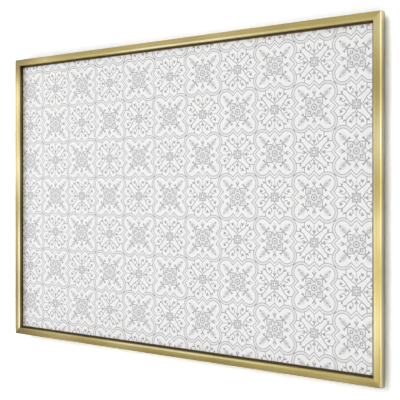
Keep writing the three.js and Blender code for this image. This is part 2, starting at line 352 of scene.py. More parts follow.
GOLD_TONES = [
    (0.1, (112, 92, 26)), (0.34, (150, 130, 58)), (0.44, (164, 146, 73)), (0.5, (174, 156, 88)),
    (0.56, (184, 168, 106)), (0.68, (204, 189, 136)), (0.85, (233, 223, 186)),
]
# Length and first crest of the painted reflection bands along the rails, in millimetres
REFLECTION_WAVE_LENGTH, REFLECTION_WAVE_CREST = 130, 92
PLAIN_ROUGHNESS, INNER_WALL_ROUGHNESS = (0.27, 0.42), 0.66


def brushed_gold(name, axis):
    """Gold-coloured metal, brushed along one axis."""
    finish = Finish(name, Metallic=1.0, Anisotropic=0.6,
                    Coat_Weight=1.0, Coat_Roughness=0.3, Coat_IOR=1.6)
    streaks = finish.noise(along(axis, 5, 900), detail=5)
    bands = finish.noise(along(axis, 2.2, 160), detail=3)
    clouds = finish.noise(along(axis, 7, 9), detail=1)
    x, y, z = finish.split()
    length, side, size = (x, z, BOARD_HEIGHT) if axis == 0 else (z, x, BOARD_WIDTH)
    forwards = y * (-1 / MM) - WALL_GAP
    inwards = side.abs() * (-1 / MM) + size / 2

    def by_side(first, second):
        """One level for the left or bottom rail and another for the right or top rail."""
        return side.rise(-0.01, 0.01, first, second)

    def front_edge(round_size):
        """1 on the front of an arris of this size, and 0 behind it."""
        return forwards.rise(RAIL_DEPTH - round_size * 1.1, RAIL_DEPTH - round_size * 0.6)

    # Painted highlight makes the inner arris lighter in places, and painted shade makes the metal darker
    # towards some corners
    painted_arris_highlight = inwards.hill(RAIL_FACE - 3.4, RAIL_FACE - 0.5, 0.5) * front_edge(INNER_ARRIS)
    if axis == 2:
        # Painted highlight: brighter on the left rail, and more so towards its bottom
        painted_arris_highlight = painted_arris_highlight * by_side(1.0, 0.1) * length.rise(-0.16, 0.16, 1.9, 0.1)
        # Painted shade: the left rail is darker at its top end
        painted_corner_shade = by_side(1.0, 0.0) * length.rise(0.2, 0.24)
        painted_reflection_depth = 0.06
    else:
        # Painted highlight: brightest near the middle of the top and bottom rails
        fade = length.rise(0.06, 0.3) * by_side(1.3, 0.7)
        painted_arris_highlight = painted_arris_highlight * length.rise(-0.25, 0.0, 0.1, 1.3) * fade.rest()
        # Painted shade: the top and bottom rails are darker at their left ends, and a little darker all
        # along
        painted_corner_shade = length.rise(-0.34, -0.27, 1.0, 0.13)
        painted_reflection_depth = 0.02

    # Painted highlights: the outer arris is paler, more so towards the lower or left end, and the outer
    # side is paler towards the front; the inner side is duller
    painted_rim_highlight = inwards.fall(OUTER_ARRIS * 0.4, OUTER_ARRIS * 1.1) * front_edge(OUTER_ARRIS)
    painted_rim_highlight = painted_rim_highlight * length.rise(-0.17, -0.08, 0.12, 0.04)
    painted_side_highlight = inwards.fall(0.1, 0.7) * forwards.rise(0, RAIL_DEPTH, 0.1, 0.4)
    inner_wall = inwards.rise(RAIL_FACE - 0.2, RAIL_FACE - 0.05)
    # Painted reflection: lighter and darker bands along each rail, at set places
    turns = (length / MM - REFLECTION_WAVE_CREST) * (2 * math.pi / REFLECTION_WAVE_LENGTH)
    painted_reflection_wave = (turns + by_side(2.2, 0.0)).math("COSINE")
    tone = streaks * 0.25 + bands * 0.3 + clouds * 0.45 + painted_reflection_wave * painted_reflection_depth
    # The base colour carries the painted highlights, painted shade and painted reflection bands
    finish.color(tone + painted_arris_highlight * 0.22 + painted_rim_highlight + painted_side_highlight - painted_corner_shade * 0.3, GOLD_TONES)
    roughness = streaks.rise(0.25, 0.8, *PLAIN_ROUGHNESS)
    finish.rough(roughness + (roughness * -1.0 + INNER_WALL_ROUGHNESS) * inner_wall)
    finish.bump(streaks, distance=0.00004, strength=0.5)
    grain = finish.node("CombineXYZ")
    grain.inputs[axis].default_value = 1.0
    finish.link(grain.outputs[0], finish.shader.inputs["Tangent"])
    return finish.material


def gap_shade_lacquer():
    """Dark brown lacquer on the flange; its darkness is painted shade that keeps the gap round the panel
    dark.
    """
    finish = Finish("gap_shade_lacquer", Metallic=0.0, Roughness=0.6)
    clouds, grain = finish.noise(120), finish.noise(1200)
    finish.color(clouds * 0.6 + grain * 0.4, [(0.3, (106, 93, 56)), (0.7, (136, 121, 79))])
    finish.rough(grain.rise(0.3, 0.7, 0.5, 0.72))
    finish.bump(grain, distance=0.00004, strength=0.4)
    return finish.material


FILM_TONES = [(0.0, (20, 20, 20)), (0.8, (209, 208, 208)), (1.0, (243, 242, 242))]
LOBE_TINT, LEAF_TINT, CENTRE_TINT, TEAR_TINT, DIAGONAL_TINT = 0.06, 0.13, 0.07, 0.12, 0.02
LOBE_BAND = (11.9, 15.6)


def printed_film():
    """Satin white film with the soft grey tints of the printed tiles."""
    finish = Finish("printed_film", Roughness=0.42)
    x, _, z = finish.split()
    column = (x / MM - (FIRST_COLUMN - TILE / 2)) / TILE
    row = (z / MM - (FIRST_ROW - TILE / 2)) / TILE
    across = ((column.math("FRACT") - 0.5) * TILE).abs()
    upright = ((row.math("FRACT") - 0.5) * TILE).abs()
    odd = ((column.math("FLOOR") + row.math("FLOOR")) * 0.5).math("FRACT") * 2.0
    high, low = across.most(upright), across.least(upright)
    outwards = (across + upright) * (1 / math.sqrt(2))
    aside = (across - upright).abs() * (1 / math.sqrt(2))

    def lobe_band(centre):
        """The band between the two outlines of the lobe with this centre."""
        dx, dy = high - centre, low - LOBE[1]
        return (dx * dx + dy * dy).math("SQRT").hill(*LOBE_BAND, 0.2)

    def tear(centre, half_length, half_width):
        """An oval on the tile's axis."""
        lengthwise, sideways = (high - centre) / half_length, low / half_width
        return (lengthwise * lengthwise + sideways * sideways).fall(0.6, 1.4)

    blade = ((outwards - 27.5) * (math.pi / 18)).math("COSINE").most(0.0) * 5.2
    leaf = outwards.hill(20.5, 35, 1.0) * (aside - blade).fall(-3.0, 1.0)
    rosette = high.fall(12.6, 13.4)
    ringed = lobe_band(LOBE[0]) * high.rise(23.5, 24.5) * LOBE_TINT + leaf * LEAF_TINT
    ringed = ringed + rosette * CENTRE_TINT + tear(23.4, 3.1, 1.7) * TEAR_TINT
    diagonal = outwards.hill(12, 23, 1.0) * aside.fall(0.4, 1.4)
    centre = high.hill(1.5, 6.0, 0.5)
    crossed = lobe_band(TILE - LOBE[0]) * LOBE_TINT + tear(18.5, 2.4, 1.5) * TEAR_TINT
    crossed = crossed + diagonal * DIAGONAL_TINT + centre * CENTRE_TINT
    tint = ringed * odd.rest() + crossed * odd
    mottle = finish.noise(260)
    finish.color(tint * -1.0 + mottle.rise(0.2, 0.8, 0.985, 1.0), FILM_TONES)
    finish.rough(mottle.rise(0.2, 0.8, 0.38, 0.46))
    finish.bump(finish.noise(1400, detail=2), distance=0.00002, strength=0.3)
    return finish.material


def printing_ink():
    """Grey ink with a fine grain."""
    finish = Finish("printing_ink", Roughness=0.5)
    grain, clouds = finish.noise(900), finish.noise(30, detail=2)
    finish.color(grain * 0.6 + clouds * 0.4, [(0.3, (155, 154, 156)), (0.7, (174, 173, 174))])
    finish.rough(grain.rise(0.3, 0.7, 0.42, 0.55))
    return finish.material


def plated_steel(name, dark, light, grain=1800, roughness=(0.24, 0.42)):
    """Zinc-plated or cast metal with cloudy plating and fine pits."""
    finish = Finish(name, Metallic=1.0)
    clouds, pits = finish.noise(220, detail=4), finish.noise(grain)
    finish.color(clouds * 0.7 + pits * 0.3, [(0.32, dark), (0.68, light)])
    finish.rough(clouds.rise(0.25, 0.75, *roughness))
    finish.bump(pits, distance=0.00005, strength=0.5)
    return finish.material


def coated_sheet():
    """Galvanised sheet with a fine spangle."""
    finish = Finish("coated_sheet", Metallic=1.0)
    spangle = finish.cells(140)
    finish.color(spangle, [(0.1, (160, 163, 166)), (0.8, (188, 191, 194))])
    finish.rough(spangle.rise(0.1, 0.8, 0.35, 0.5))
    return finish.material


SCREEN_PITCH = 1.7
BOARD_TONES = [
    (0.36, (88, 60, 38)), (0.46, (126, 91, 60)), (0.54, (144, 107, 74)), (0.64, (176, 140, 101)),
]


def hardboard():
    """Brown pressed fibreboard with its woven screen mark."""
    finish = Finish("hardboard", Roughness=0.8)
    x, _, z = finish.split()
    waves = [(place * (2 * math.pi / (SCREEN_PITCH * MM))).math("SINE") for place in (x, z)]
    screen = waves[0] * waves[1]
    fibres = finish.noise((700, 700, 2600), detail=5, distortion=1.2)
    flecks = finish.noise((2600, 700, 700), detail=4, distortion=1.2)
    chips = finish.noise((240, 240, 340), detail=4, roughness=0.7, distortion=0.6)
    clouds = finish.noise(9, detail=2)
    tone = fibres * 0.3 + flecks * 0.25 + chips * 0.33 + clouds * 0.12 + screen * 0.03
    finish.color(tone, BOARD_TONES)
    finish.rough(fibres.rise(0.3, 0.7, 0.7, 0.92))
    finish.bump(screen * 0.5 + fibres * 0.7, distance=0.00012, strength=0.8)
    return finish.material


def dark_rubber():
    """Black rubber, a little dusty."""
    finish = Finish("dark_rubber", Roughness=0.7)
    grain, dust = finish.noise(1500, detail=4), finish.noise(160)
    finish.color(dust * 0.7 + grain * 0.3, [(0.3, (30, 30, 32)), (0.7, (56, 56, 58))])
    finish.rough(dust.rise(0.3, 0.7, 0.6, 0.82))
    finish.bump(grain, distance=0.00006, strength=0.5)
    return finish.material


GOLD = {"x": brushed_gold("gold_along_x", 0), "z": brushed_gold("gold_along_z", 2)}
GAP_SHADE_LACQUER = gap_shade_lacquer()
FILM = printed_film()
INK = printing_ink()
ZINC = plated_steel("zinc_plate", dark=(150, 153, 158), light=(200, 203, 206))
CAST = plated_steel("cast_alloy", (128, 128, 126), (165, 165, 162), grain=900, roughness=(0.45, 0.65))
SHEET = coated_sheet()
BOARD = hardboard()
RUBBER = dark_rubber()


def paint(obj, material):
    """Gives every slot of an object this material."""
    if not obj.material_slots:
        obj.data.materials.append(material)
    for material_slot in obj.material_slots:
        material_slot.material = material


# Rails

# Name, length, turn about y, middle of the outer edge in x and z, and the axis that it lies along
SIDES = [
    ("top", BOARD_WIDTH, 0.0, 0, BOARD_HEIGHT / 2, "x"),
    ("right", BOARD_HEIGHT, math.pi / 2, BOARD_WIDTH / 2, 0, "z"),
    ("bottom", BOARD_WIDTH, math.pi, 0, -BOARD_HEIGHT / 2, "x"),
    ("left", BOARD_HEIGHT, -math.pi / 2, -BOARD_WIDTH / 2, 0, "z"),
]
HOLE_OVERRUN = 1

# The faces with the dark lacquer, painted shade for the gap: how far before the flange's front and its
# back they may lie, and how much they have to look forwards
SHADE_LACQUER_BEFORE, SHADE_LACQUER_AFTER, SHADE_LACQUER_SLOPE = 0.1, 0.6, 0.3


def section_loops():
    """The rail's outline and its hollow, as (inwards, forwards) points."""
    end = RAIL_FACE + FLANGE_REACH
    flange_round = (end - FLANGE_EDGE_ROUND, FLANGE_THICKNESS - FLANGE_EDGE_ROUND, FLANGE_EDGE_ROUND)
    outline = [(0, 0), (end, 0)]
    outline += arc(*flange_round, 0, 90, EDGE_STEPS)
    outline += [(RAIL_FACE, FLANGE_THICKNESS)]
    outline += arc(RAIL_FACE - INNER_ARRIS, RAIL_DEPTH - INNER_ARRIS, INNER_ARRIS, 0, 90, ARRIS_STEPS)
    outline += arc(OUTER_ARRIS, RAIL_DEPTH - OUTER_ARRIS, OUTER_ARRIS, 90, 180, ARRIS_STEPS)
    near = RAIL_WALL + CHAMBER_ROUND
    far_x, far_y = RAIL_FACE - near, RAIL_DEPTH - near
    hollow = []
    for cx, cy, start in ((near, near, 180), (far_x, near, 270), (far_x, far_y, 0), (near, far_y, 90)):
        hollow += arc(cx, cy, CHAMBER_ROUND, start, start + 90, EDGE_STEPS)
    return outline, hollow


def side_place(turn, x, z):
    """Where a rail lies that was drawn along x with its outer edge on z = 0."""
    return Matrix.Translation((x, 0, z)) @ Matrix.Rotation(turn, 4, "Y")


def panel_screw_places(length):
    shares = LONG_SHARES if length == BOARD_WIDTH else SHORT_SHARES
    return [share * length for share in shares]


def corner_screw_places(length):
    return [-length / 2 + CORNER_SCREW_INSET, length / 2 - CORNER_SCREW_INSET]


def strap_screw_heights():
    return [HANGER_Z - STRAP_SCREW_DROP - row * STRAP_SCREW_PITCH for row in (0, 1)]


def rail_shape(length):
    """Points and faces of a hollow rail along x with mitred ends."""
    loops = section_loops()
    half = length / 2 - MITRE_GAP / math.sqrt(2)
    points = []
    for end in (-1, 1):
        for loop in loops:
            for inwards, forwards in loop:
                points.append((end * (half - inwards), FRAME_BACK - forwards, -inwards))
    total = sum(len(loop) for loop in loops)
    faces = []
    start = 0
    for loop in loops:
        count = len(loop)
        for i in range(count):
            j = (i + 1) % count
            quad = (start + i, start + j, total + start + j, total + start + i)
            faces.append(quad if start == 0 else quad[::-1])
        start += count
    cap = tessellate_polygon([[Vector((*point, 0)) for point in loop] for loop in loops])
    faces += [tuple(total + i for i in triangle) for triangle in cap]
    faces += [tuple(reversed(triangle)) for triangle in cap]
    return points, faces


def rail_holes(length, turn, axis):
    """Points and faces of all the screw holes in a rail."""
    centres = [(place, -PANEL_SCREW_ACROSS) for place in panel_screw_places(length)]
    centres += [(place, -RAIL_FACE / 2) for place in corner_screw_places(length)]
    if axis == "z":
        upwards = -math.copysign(1, turn)
        centres += [(upwards * height, -HANGER_ACROSS) for height in strap_screw_heights()]
    through = (FRAME_BACK - FLANGE_THICKNESS - HOLE_OVERRUN, FRAME_BACK + HOLE_OVERRUN)
    return join_shapes([drill(centre, *through) for centre in centres])


def rail(name, length, turn, x, z, axis):
    """A gold rail with its screw holes, and with dark lacquer on the front of its flange as painted
    shade for the gap.
    """
    place = side_place(turn, x, z)
    points, faces = rail_shape(length)
    obj = new_piece(f"gold_rail_{name}", moved(place, points), faces)
    points, faces = rail_holes(length, turn, axis)
    cut(obj, moved(place, points), faces)
    smooth(obj, degrees=25)
    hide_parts(f"rail_{name}")
    obj.data.materials.append(GOLD[axis])
    obj.data.materials.append(GAP_SHADE_LACQUER)
    shade_lacquer_front = (FRAME_BACK - FLANGE_THICKNESS - SHADE_LACQUER_BEFORE) * MM
    shade_lacquer_back = (FRAME_BACK - SHADE_LACQUER_AFTER) * MM
    for face in obj.data.polygons:
        if shade_lacquer_front < face.center.y < shade_lacquer_back and face.normal.y < -SHADE_LACQUER_SLOPE:
            face.material_index = 1


for side in SIDES:
    rail(*side)


# The printed pattern

def strip(points, widths, closed=False):
    """A line through points as quads that share their mitred ends."""
    count = len(points)
    if not isinstance(widths, (list, tuple)):
        widths = [widths] * count
    points = [Vector(point) for point in points]
    ends = []
    for i, point in enumerate(points):
        directions = []
        if closed or i > 0:
            directions.append((point - points[i - 1]).normalized())
        if closed or i < count - 1:
            directions.append((points[(i + 1) % count] - point).normalized())
        normals = [Vector((-direction.y, direction.x)) for direction in directions]
        middle = sum(normals, Vector((0, 0))).normalized()
        stretch = 1 / max(SHARPEST_MITRE, middle.dot(normals[0]))
        offset = middle * (widths[i] / 2 * stretch)
        ends.append((tuple(point + offset), tuple(point - offset)))
    quads = []
    for i in range(count if closed else count - 1):
        (left, right), (next_left, next_right) = ends[i], ends[(i + 1) % count]
        quads.append([left, next_left, next_right, right])
    return quads


def soften(points, widths=None, steps=3):
    """A smooth curve through points, and its widths."""
    points = [Vector(point) for point in points]
    last = len(points) - 1
    curve, curve_widths = [], []
    for i in range(last):
        before, start = points[max(i - 1, 0)], points[i]
        end, after = points[i + 1], points[min(i + 2, last)]
        for step in range(steps):
            share = step / steps
            straight = (end - before) * share
            bend = (2 * before - 5 * start + 4 * end - after) * share ** 2
            twist = (3 * start - before - 3 * end + after) * share ** 3
            curve.append(tuple(0.5 * (2 * start + straight + bend + twist)))
            if widths:
                curve_widths.append(widths[i] + (widths[i + 1] - widths[i]) * share)
    curve.append(tuple(points[last]))
    if widths:
        curve_widths.append(widths[last])
    return (curve, curve_widths) if widths else curve


def ring_strip(cx, cy, radius, width, sides):
    return strip(arc(cx, cy, radius, 0, 360, sides)[:-1], width, closed=True)


def disc(cx, cy, radius, sides=10):
    return [arc(cx, cy, radius, 0, 360, sides)[:-1]]


def square(cx, cy, half):
    left, right, bottom, top = cx - half, cx + half, cy - half, cy + half
    return [(left, bottom), (right, bottom), (right, top), (left, top)]


def square_ring(half, width):
    return strip(square(0, 0, half), width, closed=True)


def shifted(shapes, dx, dy):
    return [[(x + dx, y + dy) for x, y in shape] for shape in shapes]


def mirrored_right(points):
    """A closed outline from its right half, whose ends lie on x = 0."""
    return [points + [(-x, y) for x, y in reversed(points) if x > ON_AXIS]]


def from_diagonal(points):
    """Points given along and across the diagonal."""
    root = math.sqrt(2)
    return [((outwards - aside) / root, (outwards + aside) / root) for outwards, aside in points]


def mirrored_across(points):
    """A closed outline about the diagonal from its half in (along, across)."""
    other = [(outwards, -aside) for outwards, aside in reversed(points) if aside > ON_AXIS]
    return [from_diagonal(points + other)]


def all_ways(shapes, ways=8):
    """Copies of shapes turned by quarters, and for eight ways mirrored too."""
    copies = []
    for shape in shapes:
        for turned in range(4):
            points = shape
            for _ in range(turned):
                points = [(-y, x) for x, y in points]
            copies.append(points)
            if ways == 8:
                copies.append([(-x, y) for x, y in points])
    return copies


def outer_outline():
    """The medallion's outer line, one quarter of it."""
    notch, tip = (8.0, 29.8), 37.0
    start = math.degrees(math.atan2(notch[1] - LOBE[1], notch[0] - LOBE[0]))
    curve = arc(*LOBE, LOBE_OUTER, start, 90 - start, 16)
    return strip([(0, tip)] + curve + [(tip, 0)], OUTLINE_WIDTH)


def inner_outline():
    """The medallion's inner line, one quarter of it."""
    notch, tip = Vector((8.0, 24.6)), 32.6
    centre = Vector(LOBE)
    reach = (notch - centre).length
    towards = math.degrees(math.atan2(notch.y - centre.y, notch.x - centre.x))
    start = towards - math.degrees(math.acos(LOBE_INNER / reach))
    curve = arc(*LOBE, LOBE_INNER, start, 90 - start, 14)
    other_notch = (notch.y, notch.x)
    return strip([(0, tip), tuple(notch)] + curve + [other_notch, (tip, 0)], OUTLINE_WIDTH)


def corner_lens():
    """The small lens across a tile's corner."""
    corner = TILE / math.sqrt(2)
    half = [(-0.5, 0), (-0.4, 1.2), (0, 2.8), (0.4, 1.2), (0.5, 0)]
    return mirrored_across([(corner + outwards, aside) for outwards, aside in half])


def medallion():
    """The ringed medallion: a rosette, an arm on each axis and a leaf on each diagonal."""
    shapes = all_ways(inner_outline() + outer_outline() + corner_lens(), 4)
    shapes += ring_strip(0, 0, radius=4.15, width=1.25, sides=24) + disc(0, 0, radius=1.55, sides=12)

    petal = soften([(0, 7.6), (2.2, 9.6), (3.9, 12.2)], steps=2)
    petal += [(6.5, 13.0), (10, 13.2), (13.1, 13.1)]
    inner = [(4.4, 12.2), (5.2, 10.5), (5.3, 5.3), (10.5, 5.2), (12.2, 4.4)]
    eye = shifted(square_ring(1.65, width=0.8), 7.6, 7.6)
    shapes += all_ways(strip(petal, widths=1.1) + disc(4.1, 12.3, radius=1.0, sides=8), 8)
    shapes += all_ways(strip(inner, widths=0.65) + eye, 4)
    shapes += all_ways(strip([(3.9, 12.4), (0, 16.9)], widths=0.7), 8)

    stem, collar = [(0, 9.2), (0, 12.0)], [(0, 16.9), (0, 18.6)]
    arm, arm_widths = soften([(0, 18.0), (1.3, 19.6), (2.3, 21.4), (3.1, 22.5)], [1.6, 1.8, 1.5, 0.5], 2)
    shapes += all_ways(strip(stem, widths=0.65) + strip(collar, widths=1.7), 4)
    shapes += all_ways(strip(arm, arm_widths), 8)

    bar = [(20.9, 0), (20.9, 4.4), (21.7, 7.3), (20.0, 6.9)]
    bar += [(17.1, 6.4), (18.6, 5.0), (19.1, 4.3), (19.2, 0)]
    joint = [(17.8, 0), (19.3, 1.5), (19.6, 0)]
    leaf = [(21.5, 0), (22.6, 1.05), (25, 1.6), (27, 1.15), (29.3, 0)]
    tip = [(29.3, 0), (27, 1.2), (27.2, 0)]
    bud = [(31.4, 0), (34.6, 1.4), (36.0, 0)]
    for half in (bar, joint, tip, bud):
        shapes += all_ways(mirrored_across(half), 4)
    leaf_outline = from_diagonal(leaf + [(outwards, -aside) for outwards, aside in reversed(leaf[1:-1])])
    return shapes + all_ways(strip(leaf_outline, widths=0.6, closed=True), 4)


def cross_hearts():
    """The cross of hearts, with the parts of the neighbours' outlines that reach into its tile."""
    shapes = square_ring(5.95, width=0.85) + square_ring(4.65, width=0.7) + square_ring(2.1, width=0.5)
    studs = [square(6, 6, half=0.6), square(2.15, 2.15, half=1.0)] + disc(0, 6.9, radius=1.0)
    shapes += all_ways(studs, 4)
    diamond = [(0, 12.2), (2.3, 9.95), (0, 7.7), (-2.3, 9.95)]
    shapes += all_ways(strip(diamond, widths=0.85, closed=True), 4)

    heart_side = [(1.9, 9.9), (4.5, 11.6), (8.75, 14.6), (12.2, 17.3)]
    heart_side += [(14.4, 20.2), (15.2, 23.5), (15.2, 28.4)]
    curl = [(7.6, 15.2), (5.6, 16.6), (4.7, 18.8), (5.0, 20.8), (6.2, 21.8)]
    heart_line = strip(soften(heart_side), widths=1.15)
    shapes += all_ways(heart_line + strip(soften(curl, steps=2), widths=1.15), 8)
    trefoil = [(6.2, 25.6), (9.2, 24.1), (11.6, 24.6), (10.4, 22.2), (8.9, 19.4), (6.9, 22.6)]
    fork = [(15.2, 22.0), (17.6, 22.4), (20.1, 23.9), (18.8, 21.7)]
    fork += [(19.6, 20.2), (17.4, 20.1), (15.2, 20.2)]
    shapes += all_ways([trefoil, fork], 8)

    heart = [(0, 12.2), (1.3, 14.0), (2.6, 16.0), (2.9, 17.0), (2.3, 17.4), (1.2, 17.0), (0, 15.9)]
    stem = strip([(0, 21), (0, 26.5)], widths=0.55)
    small_diamond = [(0, 22.0), (0.8, 22.8), (0, 23.6), (-0.8, 22.8)]
    shapes += all_ways(mirrored_right(heart) + stem + [small_diamond], 4)

    for outline in all_ways(outer_outline() + inner_outline(), 4):
        for dx, dy in ((TILE, 0), (-TILE, 0), (0, TILE), (0, -TILE)):
            shapes += shifted([outline], dx, dy)
    lenses = [[(TILE - x, y) for x, y in lens] for lens in corner_lens()]
    return shapes + all_ways(lenses, 4)


def counterclockwise(points):
    area = sum(x0 * y1 - x1 * y0 for (x0, y0), (x1, y1) in zip(points, points[1:] + points[:1]))
    return points if area > 0 else points[::-1]


def touches(points, clip):
    """Whether the box round some points reaches into the clip rectangle."""
    left, bottom, right, top = clip
    across, upright = zip(*points)
    return max(across) > left and min(across) < right and max(upright) > bottom and min(upright) < top


def inked_triangles(shapes, clip):
    """Points and triangles of everything that the shapes cover inside the clip rectangle."""
    left, bottom, right, top = clip
    polygons = [[(left, bottom), (right, bottom), (right, top), (left, top)]]
    polygons += [counterclockwise(shape) for shape in shapes if touches(shape, clip)]
    points, faces = [], []
    for polygon in polygons:
        faces.append(list(range(len(points), len(points) + len(polygon))))
        points += [Vector(point) for point in polygon]
    result = delaunay_2d_cdt(points, [], faces, FILLED_TRIANGLES, SAME_POINT, True)
    all_points, _, triangles, _, _, origins = result
    kept = [triangle for triangle, origin in zip(triangles, origins) if 0 in origin and len(origin) > 1]
    return all_points, kept


def slab(points, triangles, back, front):
    """A closed flat slab from triangles: both faces, and walls where a triangle has no neighbour."""
    used = sorted({i for triangle in triangles for i in triangle})
    number = {old: new for new, old in enumerate(used)}
    count = len(used)
    slab_points = [(points[i].x, y, points[i].y) for y in (back, front) for i in used]
    faces = []
    edges = set()
    for triangle in triangles:
        a, b, c = (number[i] for i in triangle)
        faces.append((count + a, count + b, count + c))
        faces.append((c, b, a))
        edges.update(((a, b), (b, c), (c, a)))
    faces += [(a, b, count + b, count + a) for a, b in edges if (b, a) not in edges]
    return slab_points, faces


def tile_clip(x, z):
    """The part of the tile centred here that lies on the panel, measured from its centre."""
    half = TILE / 2 - TILE_SEAM
    left, bottom = max(-half, -PANEL_WIDTH / 2 - x), max(-half, -PANEL_HEIGHT / 2 - z)
    right, top = min(half, PANEL_WIDTH / 2 - x), min(half, PANEL_HEIGHT / 2 - z)
    return tuple(round(edge, 4) for edge in (left, bottom, right, top))


def print_piece(name, motif, odd):
    """All tiles of one motif as thin raised ink on the film."""
    shapes = motif()
    slabs = {}
    tiles = []
    for column, row in [(c, r) for c in COLUMNS for r in ROWS if (c + r) % 2 == odd]:
        x, z = FIRST_COLUMN + TILE * column, FIRST_ROW - TILE * row
        clip = tile_clip(x, z)
        if clip not in slabs:
            slabs[clip] = slab(*inked_triangles(shapes, clip), INK_BACK, INK_FRONT)
        points, faces = slabs[clip]
        tiles.append(([(px + x, py, pz + z) for px, py, pz in points], faces))
    obj = new_piece(name, *join_shapes(tiles))
    layer = obj.data.uv_layers.new(name="OFBake")
    width = BOARD_WIDTH * MM
    flat = [(vertex.co.x / width + 0.5, vertex.co.z / width + 0.5) for vertex in obj.data.vertices]
    layer.data.foreach_set("uv", [value for loop in obj.data.loops for value in flat[loop.vertex_index]])
    paint(obj, INK)


print_piece("print_medallions", medallion, odd=0)
print_piece("print_hearts", cross_hearts, odd=1)


# Screws

def screw_shape(shank):
    """A screw along y with the underside of its domed head on y = 0."""
    profile = [
        (0, -shank), (POINT_RADIUS, -shank), (SHANK_RADIUS, POINT_LENGTH - shank), (SHANK_RADIUS, 0),
        (HEAD_SEAT_RADIUS, 0), (HEAD_RADIUS, HEAD_EDGE), (HEAD_RADIUS, HEAD_RIM),
        (DOME_RADIUS, DOME_START),
    ]
    for step in range(1, DOME_STEPS):
        angle = math.radians(90 * step / DOME_STEPS)
        profile.append((DOME_RADIUS * math.cos(angle), DOME_START + DOME_HEIGHT * math.sin(angle)))
    profile.append((0, DOME_START + DOME_HEIGHT))
    return lathe(profile, SCREW_SIDES)


def cross_recess():
    """The two tapered bars of a cross-head recess."""
    bars = []
    for crossed in (False, True):
        corners = []
        for y, half_length, half_width in RECESS_LEVELS:
            for x_sign, z_sign in ((-1, -1), (1, -1), (1, 1), (-1, 1)):
                x, z = x_sign * half_length, z_sign * half_width
                corners.append((-z, y, x) if crossed else (x, y, z))
        faces = [(0, 1, 2, 3), (7, 6, 5, 4)]
        faces += [(i, 4 + i, 4 + (i + 1) % 4, (i + 1) % 4) for i in range(4)]
        bars.append((corners, faces))
    return bars


def screw_group(name, shank, places, nodes, seed):
    """Screws of one kind as one piece, each with its recess at its own angle."""
    one = new_piece("one_screw", *screw_shape(shank))
    for bar in cross_recess():
        cut(one, *bar)
    points = [vertex.co / MM for vertex in one.data.vertices]
    faces = [tuple(face.vertices) for face in one.data.polygons]
    bpy.data.objects.remove(one)
    draw = random.Random(seed)
    shapes = []
    for place in places:
        turn = Matrix.Rotation(draw.uniform(0, math.pi / 2), 4, "Y")
        shapes.append((moved(Matrix.Translation(place) @ turn, points), faces))
    obj = new_piece(name, *join_shapes(shapes))
    smooth(obj, degrees=30)
    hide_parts(*nodes)
    paint(obj, ZINC)


def rail_screws(kind, across, places_of, shank, seed):
    """The screws of one kind in all four rails."""
    places, nodes = [], []
    for name, length, turn, x, z, _ in SIDES:
        for i, place in enumerate(places_of(length)):
            seat = side_place(turn, x, z) @ Vector((place, FRAME_BACK + SEAT_GAP, -across))
            places.append(tuple(seat))
            nodes.append(f"{kind}_screw_{name}_{i + 1}")
    screw_group(f"{kind}_screws", shank, places, nodes, seed)


def hanger_screws(seed):
    """The two screws of each hanger's strap."""
    seat = HANGER_Y - EYE_OUTER + 2 * STRAP_THICKNESS + STRAP_SLIT + SEAT_GAP
    places = [(sign * HANGER_X, seat, height) for sign in (-1, 1) for height in strap_screw_heights()]
    nodes = [f"hanger_screw_{side}_{i}" for side in ("left", "right") for i in (1, 2)]
    screw_group("hanger_screws", seat - FRAME_BACK + STRAP_SCREW_BITE, places, nodes, seed)


rail_screws("corner", RAIL_FACE / 2, corner_screw_places, CORNER_SHANK, seed=11)
rail_screws("panel", PANEL_SCREW_ACROSS, panel_screw_places, PANEL_SHANK, seed=12)
hanger_screws(seed=13)


# Hangers

def tube(line, radius, sides):
    """A round wire along a line in the x z plane, with flat ends."""
    points, faces = [], []
    count = len(line)
    for i, (x, z) in enumerate(line):
        ahead = Vector(line[min(i + 1, count - 1)]) - Vector(line[max(i - 1, 0)])
        normal = Vector((ahead.y, 0, -ahead.x)).normalized()
        for k in range(sides):
            angle = 2 * math.pi * k / sides
            offset = normal * (radius * math.cos(angle)) + Vector((0, 1, 0)) * (radius * math.sin(angle))
            points.append((x + offset.x, offset.y, z + offset.z))
    for i in range(count - 1):
        for k in range(sides):
            j = (k + 1) % sides
            faces.append((i * sides + k, i * sides + j, (i + 1) * sides + j, (i + 1) * sides + k))
    faces.append(tuple(reversed(range(sides))))
    faces.append(tuple(range((count - 1) * sides, count * sides)))
    return points, faces


def ring_line():
    """The middle of the ring's wire, from one butt end round to the other."""
    top, bar_end = RING_BEND + RING_LEG, RING_HALF_WIDTH - RING_BEND
    short = 0.4
    right = [(RING_BUTT / 2, 0), (RING_BUTT / 2 + short, 0), (bar_end - short, 0)]
    right += arc(bar_end, RING_BEND, RING_BEND, -90, 0, BEND_STEPS)
    right += arc(0, top, RING_HALF_WIDTH, 0, 90, RING_STEPS)
    return right + [(-x, z) for x, z in reversed(right[:-1])]


def hanger(side, sign):
    """A hanger's ring, which leans against the back of the frame at rest."""
    lean = Matrix.Translation((sign * HANGER_X, HANGER_Y, HANGER_Z)) @ Matrix.Rotation(RING_LEAN, 4, "X")
    points, faces = tube(ring_line(), RING_WIRE / 2, WIRE_SIDES)
    ring = new_piece(f"wire_ring_{side}", moved(lean, points), faces, f"ring_{side}")
    smooth(ring, degrees=40)
    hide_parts(f"hanger_ring_{side}")
    paint(ring, ZINC)


hanger("left", -1)
hanger("right", 1)


# Wall bumpers

